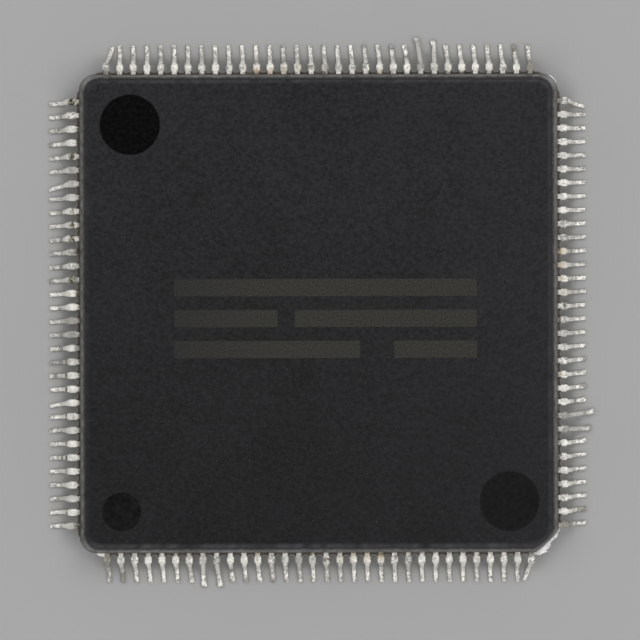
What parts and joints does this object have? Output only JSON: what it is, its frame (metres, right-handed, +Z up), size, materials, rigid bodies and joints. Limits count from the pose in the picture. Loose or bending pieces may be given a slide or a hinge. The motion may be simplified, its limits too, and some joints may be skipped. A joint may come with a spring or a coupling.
{
  "type": "integrated circuit",
  "caption": "Square flat-package integrated circuit: dark moulded body with round mould marks and rows of tinned gull-wing leads on all sides, some bent, for soldering to a board.",
  "frame": {"origin": "centre of the body's footprint on the board, at the seating plane under the feet", "axes": "+Z up out of the marked top face, +X towards the right row and +Y towards the back row, with the chamfered gate corner at +X -Y and the small index mark at -X -Y"},
  "size_m": [0.0161, 0.0161, 0.0015],
  "materials": {
    "molding_compound": "matte",
    "tinned_lead": "satin",
    "lead_frame_metal": "satin",
    "silver_adhesive": "matte",
    "silicon": "polished",
    "gold_wire": "gloss"
  },
  "bodies": {
    "root": {"molded_body": "molding_compound", "leads_front_row": "tinned_lead", "leads_right_row": "tinned_lead", "leads_back_row": "tinned_lead", "leads_left_row": "tinned_lead", "die_paddle": "lead_frame_metal", "die_attach": "silver_adhesive", "silicon_die": "silicon", "wires_front_row": "gold_wire", "wires_right_row": "gold_wire", "wires_back_row": "gold_wire", "wires_left_row": "gold_wire"}
  },
  "joints": []
}
